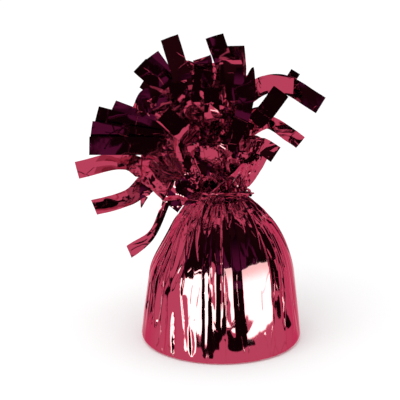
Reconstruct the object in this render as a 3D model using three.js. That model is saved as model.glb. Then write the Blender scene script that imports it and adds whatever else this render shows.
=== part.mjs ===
// A foil-wrapped balloon weight: a plastic tub cast full of concrete stands in a sheet of crimson
// metallised film, which is tied at the neck under a plume of slit film.
// Millimetres, +Z up, origin at the centre of the flat underside, front towards -Y.

import * as THREE from "three";

// Real film is about 0.03 thick. It is modelled thicker, so that each sheet is a solid.
const filmThickness = 0.5;
const clearance = 0.3;

// The tub stands mouth down. Its sides narrow a little up to a rounded shoulder.
const tub = {
  rimRadius: 30.6,
  taper: 2.3, // how much smaller its radius is at the shoulder
  shoulderHeight: 22,
  topRadius: 17,
  height: 38,
  wall: 0.9,
};
const cardThickness = 1.2;

// The wrap follows the tub, puffs out over its shoulder and is gathered in pleats at the neck.
const wrap = {
  slack: 0.6, // how loosely the film lies on the tub
  cornerRadius: 1.5,
  shoulderStandoff: 3, // how far above the tub's shoulder the film leaves it
  puffHeight: 15, // how long the film goes on upwards before it turns in
  puffInset: 1.1,
  neckApproach: { radius: 10, height: 10.2 }, // how the film comes in to the neck
  neckRadius: 10,
  neckRise: 24, // how far the tie's middle stands above the tub's top
  frontLift: 2.5, // how much higher the neck lies at its front than at its sides
  pleats: 16,
  wallPleat: 0.25,
  shoulderPleat: 0.9,
  neckPleat: 0.35,
  rimPleat: 1.5,
};

// Above the neck the wrap opens into a ruff, which lies out towards one bearing and stands up
// opposite it. Bearings are in degrees about Z, and 0 is the right.
const ruff = { liesTowards: 190, lowReach: 17, lowRise: 5, highReach: 7, highRise: 16 };

// The gathered middle of the inner film: pleated stems in the neck, and a crushed heart above them.
const heart = {
  radius: 12,
  halfHeight: 13,
  lean: 5, // how far to the left of the neck its centre lies
  rise: 18, // and how far above the tie's middle
  stemDrop: 5,
  stemPleat: 0.25,
  stemPleats: 12,
};

// A cord, wound round the neck. Its two ends run off straight.
const tie = {
  cordDiameter: 0.9,
  turns: 2.5,
  turnGap: 0.6,
  start: -130, // the bearing of its first turn's beginning, in degrees
  tailLength: 4.5,
  tailRise: 0.8,
};

// The film is slit into strips, which are gathered where they leave the heart or the ruff's edge.
const strip = { width: 7.4, rootWidth: 3, gatheredShare: 0.4, steps: 10 };

const colour = { film: 0xb8405a, tub: 0xd9d6cf, concrete: 0x8f8c86, card: 0xa98d68 };
const lathe = { wrapSides: 48, heartSides: 36 };

// The strips that show from the front, measured from the heart's centre: the points that a strip
// passes, the last being its cut end, and the direction across its width. A strip that lies close
// beside another has its points moved one strip's width aside, so that wider strips keep clear.
const frontStrips = {
  strip_top_left: { via: [[-10, 4, 26]], end: [-16, 14, 43], across: [1, 0, 0.25] },
  strip_upper_left: { via: [[-15, -4, 24]], end: [-27.6, -2, 35.6], across: [1, 0, 0.93] },
  strip_upper_left_back: {
    via: [[-14, 0.6, 23]],
    end: [-23.5, 3.6, 36],
    across: [1, 0, 0.9],
    aside: [0, 1, 0],
  },
  strip_left_bump: { via: [[-18, -8, 20], [-24, -8, 24]], end: [-27, -11, 19], across: [0.5, -0.6, 0.6] },
  strip_fan_top: { via: [[-20, 2, 9]], end: [-39, 4, 16], across: [0.7, 0, 0.7] },
  strip_fan_upper: { via: [[-22, -1, 8.4]], end: [-45, -2, 15], across: [0.43, 0, 0.9] },
  strip_fan_middle: { via: [[-23, -4, 6]], end: [-47, -6, 10], across: [0.08, 0, 1] },
  strip_fan_lower: { via: [[-24, -7, 3.6]], end: [-47.7, -10, 4.6], across: [0.16, 0, 1] },
  strip_top_middle: { via: [[7, 6, 28]], end: [2, 8, 45], across: [0.96, 0, 0.28] },
  strip_front_fall: {
    via: [[5, -8, 26], [8.4, -12, 38.8], [9.7, -20, 34]],
    end: [10.3, -24, 24],
    across: [1, 0, 0],
  },
  strip_top_right: { via: [[11, 8, 23]], end: [10.5, 12, 40], across: [0.9, 0, -0.45] },
  strip_tall_right: {
    via: [[6, -15, 4], [12, -17, 16]],
    end: [17, -14, 38],
    across: [0.9, 0, -0.4],
    width: 6,
  },
  strip_right_swoop: { via: [[14.5, 2, 20.7], [21.4, -2, 28]], end: [33.5, -2, 27], across: [0, 0.3, 1] },
  strip_right_dark: {
    via: [[11.2, 8, 22.8], [21.3, 6, 26]],
    end: [37.1, -2, 19],
    across: [0.54, 0, 0.84],
    aside: [1, 0, 0],
  },
  strip_right_stub: { via: [[26.7, 12, 18.7]], end: [34.6, 12, 31], across: [0.6, 0.8, 0] },
  strip_right_middle: { via: [[20, -10, 16]], end: [28.5, -8, 26.5], across: [0.83, 0, -0.55] },
  strip_right_low: { via: [[22.6, -2, 12.6]], end: [36.8, -3, 4.4], across: [0.34, 0, 0.94] },
  strip_right_drop: { via: [[18.6, -13, 6.4]], end: [26.3, -16, 3], across: [0.7, 0, 0.7] },
  strip_top_flat: {
    via: [[5.4, -2, 27.7], [4.9, 2, 35]],
    end: [4.4, 14, 36],
    across: [1, 0, 0],
    aside: [-1, 0, 0],
  },
  strip_heart_left: { via: [[-10, -16, 21]], end: [-12.6, -18, 33], across: [1, 0, 0.5] },
  strip_heart_middle: { via: [[-3.7, -14, 24]], end: [-1.7, -16, 37], across: [1, 0, -0.2] },
  strip_heart_low: { via: [[-8, -20, 11.4]], end: [-18, -26, 22], across: [0.7, 0, 0.7] },
  strip_heart_right: { via: [[1, -20, 20]], end: [0.6, -24, 32.5], across: [1, 0, 0.1], width: 6 },
};

// The wrap's own slit margin: these leave the ruff's edge, on the crest at their bearing.
const ruffStrips = {
  strip_left_flat: { bearing: 180, via: [[-34, -3, -4]], end: [-53, -6, -7], across: [0.1, 0, 1], width: 8 },
  strip_left_lobe: {
    bearing: 202.5,
    via: [[-25, -14, -12]],
    end: [-27, -17, -19],
    across: [1, -0.4, 0],
    width: 11,
  },
  strip_low_lobe: { bearing: 247.5, via: [[-10, -26, -8]], end: [-15.5, -25, -16], across: [1, 0.3, -0.6] },
  strip_left_curl: {
    bearing: 157.5,
    via: [[-30, 2, -19], [-37.7, -2, -21.4]],
    end: [-46.4, -6, -22.3],
    across: [0.2, 0.5, 0.85],
  },
  strip_long_curl: {
    bearing: 225,
    via: [[-18, -20, -18], [-23, -21, -29]],
    end: [-32, -20, -36.5],
    across: [0.7, 0.2, -0.5],
    width: 6,
  },
};

const up = new THREE.Vector3(0, 0, 1);

const filmMaterial = () =>
  new THREE.MeshStandardMaterial({ color: colour.film, metalness: 1, roughness: 0.08 });

const plainMaterial = (color, roughness) =>
  new THREE.MeshStandardMaterial({ color, roughness, metalness: 0 });

function namedMesh(name, geometry, material) {
  const mesh = new THREE.Mesh(geometry, material);
  mesh.name = name;
  return mesh;
}

// A closed profile of [radius, height] pairs turned about Z. A lathe's own axis is Y.
function turned(profile, sides) {
  const points = profile.map(([radius, height]) => new THREE.Vector2(radius, height));
  return new THREE.LatheGeometry(points, sides).rotateX(Math.PI / 2);
}

// The weight: tub, concrete and the card that closes the tub's mouth.

const mouthHeight = filmThickness + clearance;
const shoulderRadius = tub.rimRadius - tub.taper;

// The tub's outline, or one inset from it, from the mouth up to the middle of the top.
function tubOutline(inset, from) {
  const outline = [
    [tub.rimRadius - inset, from],
    [shoulderRadius - inset, tub.shoulderHeight],
  ];
  const shoulderSteps = 5;
  for (let i = 1; i <= shoulderSteps; i++) {
    const turn = (i / shoulderSteps) * (Math.PI / 2);
    outline.push([
      tub.topRadius - inset + (shoulderRadius - tub.topRadius) * Math.cos(turn),
      tub.shoulderHeight + (tub.height - inset - tub.shoulderHeight) * Math.sin(turn),
    ]);
  }
  outline.push([0, tub.height - inset]);
  return outline;
}

function weightTub() {
  const outside = tubOutline(0, mouthHeight);
  const inside = tubOutline(tub.wall, mouthHeight).reverse();
  return turned([...outside, ...inside, outside[0]], lathe.wrapSides);
}

function baseCard() {
  const radius = tub.rimRadius - tub.wall - clearance;
  return new THREE.CylinderGeometry(radius, radius, cardThickness, lathe.wrapSides)
    .rotateX(Math.PI / 2)
    .translate(0, 0, mouthHeight + cardThickness / 2);
}

function concreteFill() {
  const floor = mouthHeight + cardThickness + clearance;
  return turned([[0, floor], ...tubOutline(tub.wall + clearance, floor)], lathe.wrapSides);
}

// The wrap: one sheet from the underside up the tub, in to the neck and out into the ruff.

const neckHeight = tub.height + wrap.neckRise;
const tieHeight = tie.turns * (tie.cordDiameter + tie.turnGap) + tie.cordDiameter;
const neckLow = neckHeight - tieHeight / 2 - clearance;
const neckTop = neckHeight + tieHeight / 2 + clearance;

// 1 on the crest of a pleat and -1 between two.
const pleatWave = (angle, pleats) => Math.cos(pleats * angle);

// How far the ruff reaches out and up at an angle about Z.
function ruffAt(angle) {
  const fromLow = angle - THREE.MathUtils.degToRad(ruff.liesTowards);
  const lowness = Math.cos(fromLow / 2) ** 4;
  return {
    reach: THREE.MathUtils.lerp(ruff.highReach, ruff.lowReach, lowness),
    rise: THREE.MathUtils.lerp(ruff.highRise, ruff.lowRise, lowness),
  };
}

const neckLiftAt = (angle) => -wrap.frontLift * Math.sin(angle);

// The wrap's outer face at an angle, as { radius, height } from the underside's middle to the rim.
function wrapOutline(angle) {
  const offset = clearance + filmThickness + wrap.slack;
  const lift = neckLiftAt(angle);
  const foot = tub.rimRadius + offset;
  const shoulder = {
    radius: shoulderRadius + offset,
    height: tub.shoulderHeight + wrap.shoulderStandoff,
  };
  const puff = new THREE.CubicBezierCurve(
    new THREE.Vector2(shoulder.radius, shoulder.height),
    new THREE.Vector2(shoulder.radius - wrap.puffInset, shoulder.height + wrap.puffHeight),
    new THREE.Vector2(
      wrap.neckRadius + wrap.neckApproach.radius,
      neckHeight - wrap.neckApproach.height + lift,
    ),
    new THREE.Vector2(wrap.neckRadius, neckLow + lift),
  );
  const outline = [
    { radius: 0, height: 0, pleat: 0 },
    { radius: foot - wrap.cornerRadius, height: 0, pleat: 0 },
    { radius: foot, height: wrap.cornerRadius, pleat: 0 },
    { ...shoulder, pleat: wrap.wallPleat },
  ];
  for (const share of [0.25, 0.5, 0.75]) {
    const point = puff.getPoint(share);
    const pleat = THREE.MathUtils.lerp(wrap.wallPleat, wrap.shoulderPleat, share);
    outline.push({ radius: point.x, height: point.y, pleat });
  }
  outline.push({ radius: wrap.neckRadius, height: neckLow + lift, pleat: wrap.neckPleat });
  outline.push({ radius: wrap.neckRadius, height: neckTop + lift, pleat: wrap.neckPleat });
  const { reach, rise } = ruffAt(angle);
  for (const share of [0.35, 0.7, 1]) {
    outline.push({
      radius: wrap.neckRadius + reach * Math.sin((share * Math.PI) / 2),
      height: neckTop + lift + rise * share,
      pleat: THREE.MathUtils.lerp(wrap.neckPleat, wrap.rimPleat, share),
    });
  }
  const wave = pleatWave(angle, wrap.pleats);
  return outline.map((p) => new THREE.Vector2(p.radius + p.pleat * wave, p.height));
}

// The inner face, one film thickness in from the outer one.
function wrapLining(outline) {
  return outline.map((point, i) => {
    if (i === 0) return new THREE.Vector2(0, filmThickness);
    const along = (outline[i + 1] ?? point).clone().sub(outline[i - 1]).normalize();
    return new THREE.Vector2(point.x - along.y * filmThickness, point.y + along.x * filmThickness);
  });
}

function foilWrap() {
  const profileLength = 2 * wrapOutline(0).length;
  const blank = Array.from({ length: profileLength }, (_, i) => [1, i]);
  const geometry = turned(blank, lathe.wrapSides);
  const position = geometry.getAttribute("position");
  for (let side = 0; side <= lathe.wrapSides; side++) {
    const angle = ((side % lathe.wrapSides) / lathe.wrapSides) * Math.PI * 2;
    const outline = wrapOutline(angle);
    const profile = [...outline, ...wrapLining(outline).reverse()];
    profile.forEach((point, i) => {
      position.setXYZ(
        side * profileLength + i,
        point.x * Math.cos(angle),
        point.x * Math.sin(angle),
        point.y,
      );
    });
  }
  return geometry;
}

// The heart: stems that the tie grips, under a crushed ball of film that leans to the left.

const stemRadius =
  wrap.neckRadius - filmThickness - wrap.neckPleat - clearance - heart.stemPleat;
const centre = new THREE.Vector3(-heart.lean, 0, neckHeight + heart.rise);

function fringeHeart() {
  const { radius, halfHeight } = heart;
  const lowTurn = Math.asin(stemRadius / radius);
  const profile = [
    [0, neckLow - heart.stemDrop],
    [stemRadius, neckLow - heart.stemDrop],
    [stemRadius, neckTop + wrap.frontLift],
  ];
  const stemLength = profile.length;
  const ballSteps = 8;
  for (let i = 0; i <= ballSteps; i++) {
    const turn = THREE.MathUtils.lerp(lowTurn, Math.PI, i / ballSteps);
    profile.push([radius * Math.sin(turn), centre.z - halfHeight * Math.cos(turn)]);
  }
  profile[profile.length - 1][0] = 0;
  const geometry = turned(profile, lathe.heartSides);
  const position = geometry.getAttribute("position");
  for (let i = 0; i < position.count; i++) {
    const inStem = i % profile.length < stemLength;
    const x = position.getX(i);
    const y = position.getY(i);
    const wave = pleatWave(Math.atan2(y, x), heart.stemPleats);
    const swell = inStem && Math.hypot(x, y) > 1 ? 1 + (heart.stemPleat * wave) / stemRadius : 1;
    position.setXY(i, x * swell + (inStem ? 0 : centre.x), y * swell + (inStem ? 0 : centre.y));
  }
  return geometry;
}

// The tie: one cord from cut end to cut end.

// A tail, the turns round the neck and the other tail. The turns climb one cord and one gap each.
class Winding extends THREE.Curve {
  constructor() {
    super();
    this.radius = wrap.neckRadius + wrap.neckPleat + clearance + tie.cordDiameter / 2;
    this.turnLength = tie.turns * Math.PI * 2 * this.radius;
    this.tailShare = tie.tailLength / (this.turnLength + 2 * tie.tailLength);
  }

  getPoint(share, target = new THREE.Vector3()) {
    const wound = (share - this.tailShare) / (1 - 2 * this.tailShare);
    const held = THREE.MathUtils.clamp(wound, 0, 1);
    const loose = wound - held;
    const angle = THREE.MathUtils.degToRad(tie.start) + held * tie.turns * Math.PI * 2;
    const rise = (held - 0.5) * tie.turns * (tie.cordDiameter + tie.turnGap);
    const straight = loose * this.turnLength;
    const tailRise = (straight / tie.tailLength) * tie.tailRise;
    return target.set(
      this.radius * Math.cos(angle) - straight * Math.sin(angle),
      this.radius * Math.sin(angle) + straight * Math.cos(angle),
      neckHeight + rise + neckLiftAt(angle) + tailRise,
    );
  }
}

// The least distance between two stretches of the cord that lie more than half a turn apart.
function leastGap(curve) {
  const samples = 400;
  const points = curve.getSpacedPoints(samples);
  const apart = Math.ceil(samples / tie.turns / 2);
  let least = Infinity;
  for (let i = 0; i < points.length; i++)
    for (let j = i + apart; j < points.length; j++)
      least = Math.min(least, points[i].distanceTo(points[j]));
  return least - tie.cordDiameter;
}

function neckTie() {
  const winding = new Winding();
  console.log(`neck_tie: least gap to itself ${leastGap(winding).toFixed(2)} mm`);
  const section = new THREE.Shape().absarc(0, 0, tie.cordDiameter / 2, 0, Math.PI * 2);
  return new THREE.ExtrudeGeometry(section, {
    steps: Math.round(tie.turns * 24) + 6,
    curveSegments: 3,
    extrudePath: winding,
    bevelEnabled: false,
  });
}

// The strips. Their points are measured from the heart's centre.

function heartRoot(towards) {
  const radii = new THREE.Vector3(heart.radius, heart.radius, heart.halfHeight);
  const reach = 1 / towards.clone().divide(radii).length();
  const surface = towards.clone().multiplyScalar(reach);
  return surface.addScaledVector(towards.clone().normalize(), clearance);
}

function ruffRoot(bearing) {
  const pleatAngle = (Math.PI * 2) / wrap.pleats;
  const angle = Math.round(THREE.MathUtils.degToRad(bearing) / pleatAngle) * pleatAngle;
  const rim = wrapOutline(angle).at(-1);
  const radius = rim.x + clearance + filmThickness / 2;
  return new THREE.Vector3(radius * Math.cos(angle), radius * Math.sin(angle), rim.y).sub(centre);
}

// A box bent along a curve, narrow at its root and square at its cut end.
function bentStrip(curve, across, width) {
  const geometry = new THREE.BoxGeometry(1, 1, 1, 1, 1, strip.steps);
  const position = geometry.getAttribute("position");
  const point = new THREE.Vector3();
  for (let i = 0; i < position.count; i++) {
    point.fromBufferAttribute(position, i);
    const share = point.z + 0.5;
    const tangent = curve.getTangent(share);
    const side = across.clone().addScaledVector(tangent, -across.dot(tangent)).normalize();
    const face = new THREE.Vector3().crossVectors(tangent, side);
    const opened = THREE.MathUtils.smoothstep(share, 0, strip.gatheredShare);
    const widthHere = THREE.MathUtils.lerp(strip.rootWidth, width, opened);
    const moved = curve
      .getPoint(share)
      .addScaledVector(side, point.x * widthHere)
      .addScaledVector(face, point.y * filmThickness);
    position.setXYZ(i, moved.x, moved.y, moved.z);
  }
  return geometry;
}

function shapedStrip({ bearing, via, end, across, width = strip.width, aside = [0, 0, 0] }) {
  const moved = new THREE.Vector3(...aside).multiplyScalar(strip.width);
  const points = [...via, end].map((p) => new THREE.Vector3(...p).add(moved));
  const root = bearing === undefined ? heartRoot(points[0]) : ruffRoot(bearing);
  const curve = new THREE.CatmullRomCurve3([root, ...points]);
  return bentStrip(curve, new THREE.Vector3(...across).normalize(), width);
}

// The rest of the plume, in rings round its back: each ring's angle from the top, its bearings
// about Z, how long its strips are and how far their ends droop. The lowest ring leaves the ruff.
const backRings = [
  { name: "strip_crown", fromTop: 33, bearings: [78, 118], count: 2, length: 28, droop: 2 },
  { name: "strip_back_high", fromTop: 50, bearings: [58, 138], count: 4, length: 31, droop: 4 },
  { name: "strip_back_middle", fromTop: 72, bearings: [58, 155], count: 5, length: 34, droop: 7 },
  {
    name: "strip_back_low",
    fromTop: 92,
    bearings: [67.5, 135],
    count: 4,
    length: 24,
    droop: 7,
    onRuff: true,
  },
];

// How unalike the strips of a ring are: degrees, a share of the length, millimetres and radians.
const unlike = { fromTop: 4, length: 0.12, sideways: 3, twist: 0.35 };
const bendShare = 0.55; // how far along its length a back strip begins to droop

// A repeatable number from -1 to 1 for the strip of that number.
const scatter = { perStrip: 12.9898, perSalt: 78.233, stretch: 43758.5453 };

function varied(number, salt) {
  const wave = Math.sin(number * scatter.perStrip + salt * scatter.perSalt) * scatter.stretch;
  return (wave - Math.floor(wave)) * 2 - 1;
}

function backStrip(ring, index, number) {
  const share = ring.count > 1 ? index / (ring.count - 1) : 0.5;
  const bearing = THREE.MathUtils.degToRad(THREE.MathUtils.lerp(...ring.bearings, share));
  const fromTop = THREE.MathUtils.degToRad(ring.fromTop + unlike.fromTop * varied(number, 1));
  const out = new THREE.Vector3().setFromSphericalCoords(1, fromTop, 0);
  const direction = new THREE.Vector3(
    out.z * Math.cos(bearing),
    out.z * Math.sin(bearing),
    out.y,
  );
  const sideways = new THREE.Vector3().crossVectors(up, direction).normalize();
  const root = ring.onRuff ? ruffRoot(THREE.MathUtils.radToDeg(bearing)) : heartRoot(direction);
  const length = ring.length * (1 + unlike.length * varied(number, 2));
  const middle = root.clone().addScaledVector(direction, length * bendShare);
  const end = root
    .clone()
    .addScaledVector(direction, length)
    .addScaledVector(sideways, unlike.sideways * varied(number, 3))
    .addScaledVector(up, -ring.droop);
  const across = sideways.applyAxisAngle(direction, unlike.twist * varied(number, 4));
  return bentStrip(new THREE.QuadraticBezierCurve3(root, middle, end), across, strip.width);
}

function plume() {
  const group = new THREE.Group();
  group.position.copy(centre);
  for (const [name, shape] of Object.entries({ ...frontStrips, ...ruffStrips }))
    group.add(namedMesh(name, shapedStrip(shape), filmMaterial()));
  let number = 0;
  for (const ring of backRings)
    for (let index = 0; index < ring.count; index++) {
      number += 1;
      const geometry = backStrip(ring, index, number);
      group.add(namedMesh(`${ring.name}_${index + 1}`, geometry, filmMaterial()));
    }
  return group;
}

const balloonWeight = new THREE.Group();
balloonWeight.add(
  namedMesh("base_card", baseCard(), plainMaterial(colour.card, 0.9)),
  namedMesh("weight_tub", weightTub(), plainMaterial(colour.tub, 0.5)),
  namedMesh("concrete_fill", concreteFill(), plainMaterial(colour.concrete, 0.9)),
  namedMesh("foil_wrap", foilWrap(), filmMaterial()),
  namedMesh("fringe_heart", fringeHeart(), filmMaterial()),
  namedMesh("neck_tie", neckTie(), filmMaterial()),
  plume(),
);

export default balloonWeight;
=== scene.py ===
import math
import random

import bmesh
import bpy
import numpy as np
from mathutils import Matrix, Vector


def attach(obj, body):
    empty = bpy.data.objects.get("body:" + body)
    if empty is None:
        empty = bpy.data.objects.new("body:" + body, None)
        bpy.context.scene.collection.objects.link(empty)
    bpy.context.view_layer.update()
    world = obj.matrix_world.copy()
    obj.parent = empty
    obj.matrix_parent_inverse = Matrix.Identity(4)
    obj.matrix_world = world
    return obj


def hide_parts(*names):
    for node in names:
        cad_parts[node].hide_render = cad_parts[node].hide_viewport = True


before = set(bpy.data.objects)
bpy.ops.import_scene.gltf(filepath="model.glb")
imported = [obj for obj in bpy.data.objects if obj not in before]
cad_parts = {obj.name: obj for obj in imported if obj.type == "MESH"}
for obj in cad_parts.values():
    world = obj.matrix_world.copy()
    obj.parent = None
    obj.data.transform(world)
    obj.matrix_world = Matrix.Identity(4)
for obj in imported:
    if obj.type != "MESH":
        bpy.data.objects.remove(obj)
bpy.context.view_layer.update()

# A balloon weight: a weighted tub in crimson metallised film, tied under a plume of slit film.
# Metres, +Z up, front towards -Y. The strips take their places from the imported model's nodes; the
# wrap, the inner film and the tie have measures of their own.

scene = bpy.context.scene
scene.view_settings.view_transform = "Standard"
mm = 0.001

# camera, at the photograph's angle and frame
cameraView = {
    "elevation": math.radians(18),
    "distance": 0.9,
    "lookAt": Vector((-8.7, 0, 58.75)) * mm,
    "frameWidth": 162 * mm,  # what 400 pixels take in, at the object
    "sensorWidth": 36,
}

def makeCamera(view):
    camera = bpy.data.cameras.new("camera")
    camera.sensor_width = view["sensorWidth"]
    camera.lens = view["sensorWidth"] * view["distance"] / view["frameWidth"]
    holder = bpy.data.objects.new("camera", camera)
    scene.collection.objects.link(holder)
    back = Vector((0, -math.cos(view["elevation"]), math.sin(view["elevation"])))
    holder.location = view["lookAt"] + back * view["distance"]
    holder.rotation_mode = "QUATERNION"
    holder.rotation_quaternion = (-back).to_track_quat("-Z", "Y")
    scene.camera = holder

makeCamera(cameraView)
print("camera set")


# shader helpers

def newMaterial(name):
    material = bpy.data.materials.new(name)
    material.use_nodes = True
    tree = material.node_tree
    shader = tree.nodes["Principled BSDF"]
    return material, tree, shader

def addNode(tree, kind, **settings):
    node = tree.nodes.new(kind)
    for key, value in settings.items():
        if key in node.inputs:
            node.inputs[key].default_value = value
        else:
            setattr(node, key, value)
    return node

def link(tree, source, output, target, entry):
    tree.links.new(source.outputs[output], target.inputs[entry])

def addMath(tree, operation, first, second):
    node = tree.nodes.new("ShaderNodeMath")
    node.operation = operation
    for socket, value in zip(node.inputs, (first, second)):
        if isinstance(value, (int, float)):
            socket.default_value = value
        else:
            tree.links.new(value, socket)
    return node.outputs[0]

# a value that changes upwards, from the first value at the first height to the second at the second
def addLevel(tree, heights, values, **settings):
    place = addNode(tree, "ShaderNodeTexCoord")
    axes = addNode(tree, "ShaderNodeSeparateXYZ")
    level = addNode(tree, "ShaderNodeMapRange", **settings)
    for socket, value in zip(("From Min", "From Max", "To Min", "To Max"), heights + values):
        level.inputs[socket].default_value = value
    link(tree, place, "Object", axes, "Vector")
    link(tree, axes, "Z", level, "Value")
    return level.outputs["Result"]

# plain white light on a surface in place of another shader, where share is 1
def addWhite(tree, share, other, surface):
    white = addNode(tree, "ShaderNodeEmission", Strength=1)
    mix = addNode(tree, "ShaderNodeMixShader")
    tree.links.new(share, mix.inputs["Fac"])
    tree.links.new(other, mix.inputs[1])
    link(tree, white, "Emission", mix, 2)
    tree.links.new(mix.outputs["Shader"], surface)

# the fine waves and hairline creases of thin film, as a normal and a mask that is 1 on a crease
def makeFilmCreaseGroup():
    group = bpy.data.node_groups.new("filmCreases", "ShaderNodeTree")
    sockets = group.interface
    for name in ("Wave Depth", "Fine Depth", "Crease Depth", "Wave Stretch", "Crease Scale"):
        sockets.new_socket(name, in_out="INPUT", socket_type="NodeSocketFloat")
    sockets.new_socket("Normal", in_out="OUTPUT", socket_type="NodeSocketVector")
    sockets.new_socket("Crease", in_out="OUTPUT", socket_type="NodeSocketFloat")
    given = addNode(group, "NodeGroupInput")
    result = addNode(group, "NodeGroupOutput")
    place = addNode(group, "ShaderNodeTexCoord")
    squeeze = addNode(group, "ShaderNodeCombineXYZ", X=1, Y=1)
    stretched = addNode(group, "ShaderNodeVectorMath", operation="MULTIPLY")
    warp = addNode(group, "ShaderNodeTexNoise", Scale=90, Detail=2)
    bent = addNode(group, "ShaderNodeMix", data_type="VECTOR", Factor=0.006)
    cells = addNode(group, "ShaderNodeTexVoronoi", feature="DISTANCE_TO_EDGE")
    line = addNode(group, "ShaderNodeMapRange", interpolation_type="SMOOTHSTEP")
    line.inputs["From Max"].default_value = 0.035
    line.inputs["To Min"].default_value = 1
    line.inputs["To Max"].default_value = 0
    # only some of the cells' edges are creased
    patchy = addNode(group, "ShaderNodeTexNoise", Scale=110, Detail=1)
    chosen = addNode(group, "ShaderNodeMapRange", interpolation_type="SMOOTHSTEP")
    chosen.inputs["From Min"].default_value = 0.48
    chosen.inputs["From Max"].default_value = 0.6
    waves = addNode(group, "ShaderNodeTexNoise", Scale=130, Detail=2, Roughness=0.45)
    fine = addNode(group, "ShaderNodeTexNoise", Scale=900, Detail=2, Roughness=0.5)
    link(group, given, "Wave Stretch", squeeze, "Z")
    link(group, place, "Object", stretched, 0)
    link(group, squeeze, "Vector", stretched, 1)
    link(group, stretched, "Vector", warp, "Vector")
    link(group, stretched, "Vector", bent, "A")
    link(group, warp, "Color", bent, "B")
    link(group, bent, "Result", cells, "Vector")
    link(group, given, "Crease Scale", cells, "Scale")
    link(group, cells, "Distance", line, "Value")
    link(group, place, "Object", patchy, "Vector")
    link(group, patchy, "Fac", chosen, "Value")
    link(group, stretched, "Vector", waves, "Vector")
    link(group, stretched, "Vector", fine, "Vector")
    creased = addMath(group, "MULTIPLY", line.outputs["Result"], chosen.outputs["Result"])
    heights = [
        addMath(group, "MULTIPLY", creased, given.outputs["Crease Depth"]),
        addMath(group, "MULTIPLY", waves.outputs["Fac"], given.outputs["Wave Depth"]),
        addMath(group, "MULTIPLY", fine.outputs["Fac"], given.outputs["Fine Depth"]),
    ]
    height = addMath(group, "ADD", addMath(group, "ADD", heights[0], heights[1]), heights[2])
    bump = addNode(group, "ShaderNodeBump", Distance=1.0)
    group.links.new(height, bump.inputs["Height"])
    link(group, bump, "Normal", result, "Normal")
    group.links.new(creased, result.inputs["Crease"])
    return group

filmCreases = makeFilmCreaseGroup()

filmFinish = {
    "colour": (0.479, 0.051, 0.102, 1),
    # painted shade: the darker crimson that the film is painted with along its creases
    "creaseColour": (0.4, 0.035, 0.075, 1),
    "edgeColour": (0.88, 0.42, 0.5, 1),
    "smooth": 0.05,
    "creased": 0.16,
}

# mirrored is the share of light that the film passes on where it is itself seen in other film; calm
# is the depth that the waves fall to upwards, and the heights between which they do
def makeFilmMaterial(name, mirrored, depths, calm=None):
    material, tree, shader = newMaterial(name)
    shader.inputs["Metallic"].default_value = 1
    shader.inputs["Specular Tint"].default_value = filmFinish["edgeColour"]
    creases = addNode(tree, "ShaderNodeGroup", node_tree=filmCreases)
    for key, value in depths.items():
        creases.inputs[key].default_value = value
    if calm:
        waveDepth = addLevel(tree, calm["heights"], (depths["Wave Depth"], calm["depth"]))
        tree.links.new(waveDepth, creases.inputs["Wave Depth"])
    # the film's crimson, painted darker along its creases as painted shade there
    tint = addNode(tree, "ShaderNodeMix", data_type="RGBA")
    tint.inputs["A"].default_value = filmFinish["colour"]
    tint.inputs["B"].default_value = filmFinish["creaseColour"]
    gloss = addNode(tree, "ShaderNodeMapRange")
    gloss.inputs["To Min"].default_value = filmFinish["smooth"]
    gloss.inputs["To Max"].default_value = filmFinish["creased"]
    ray = addNode(tree, "ShaderNodeLightPath")
    seen = addNode(tree, "ShaderNodeMix", data_type="RGBA")
    seen.inputs["B"].default_value = (mirrored, mirrored, mirrored, 1)
    link(tree, creases, "Crease", tint, "Factor")
    link(tree, ray, "Is Glossy Ray", seen, "Factor")
    link(tree, tint, "Result", seen, "A")
    link(tree, seen, "Result", shader, "Base Color")
    link(tree, creases, "Crease", gloss, "Value")
    link(tree, gloss, "Result", shader, "Roughness")
    link(tree, creases, "Normal", shader, "Normal")
    return material

bodyFilm = makeFilmMaterial("bodyFilm", 0.95, {
    "Wave Depth": 0.00025, "Wave Stretch": 0.16, "Fine Depth": 0.000006,
    "Crease Depth": 0.00005, "Crease Scale": 190,
}, calm={"heights": (0.056, 0.066), "depth": 0.00003})
stripFilm = makeFilmMaterial("stripFilm", 0.6, {
    "Wave Depth": 0.00004, "Wave Stretch": 1, "Fine Depth": 0.000002,
    "Crease Depth": 0.00005, "Crease Scale": 120,
})
heartFilm = makeFilmMaterial("heartFilm", 0.5, {
    "Wave Depth": 0.00003, "Wave Stretch": 1, "Fine Depth": 0.000002,
    "Crease Depth": 0.00003, "Crease Scale": 200,
})
cordFilm = makeFilmMaterial("cordFilm", 0.95, {
    "Wave Depth": 0.0006, "Wave Stretch": 1, "Fine Depth": 0.00012,
    "Crease Depth": 0.00003, "Crease Scale": 300,
})
print("film materials made")


# finishing a piece

def addObject(name, bm, material):
    mesh = bpy.data.meshes.new(name)
    bm.to_mesh(mesh)
    bm.free()
    mesh.materials.append(material)
    made = bpy.data.objects.new(name, mesh)
    scene.collection.objects.link(made)
    return made

# faces whose middle flatWhere chooses keep their flat shading
def finishPiece(name, bm, material, sharpAngle, flatWhere=None):
    bmesh.ops.recalc_face_normals(bm, faces=bm.faces)
    piece = addObject(name, bm, material)
    for face in piece.data.polygons:
        face.use_smooth = not (flatWhere and flatWhere(face.center))
    piece.data.set_sharp_from_angle(angle=math.radians(sharpAngle))
    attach(piece, "root")
    return piece

def placeVerts(verts, places):
    for vert, co in zip(verts, places):
        vert.co = co

# a random phase lies between 0 and this, about one full turn in radians
phaseRange = 6.3

# a zigzag from -1 to 1 that repeats once for each 1 of x
def zigzag(x):
    return 4 * np.abs(x - np.floor(x + 0.5)) - 1

# how far the lines between facets sway, in shares of a facet, and how fast along v
facetSway = {"uWithU": 0.4, "uWithV": 0.5, "vWithU": 0.4, "vWithV": 0.3, "uSpeed": 1.9, "vSpeed": 2.3}

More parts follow.
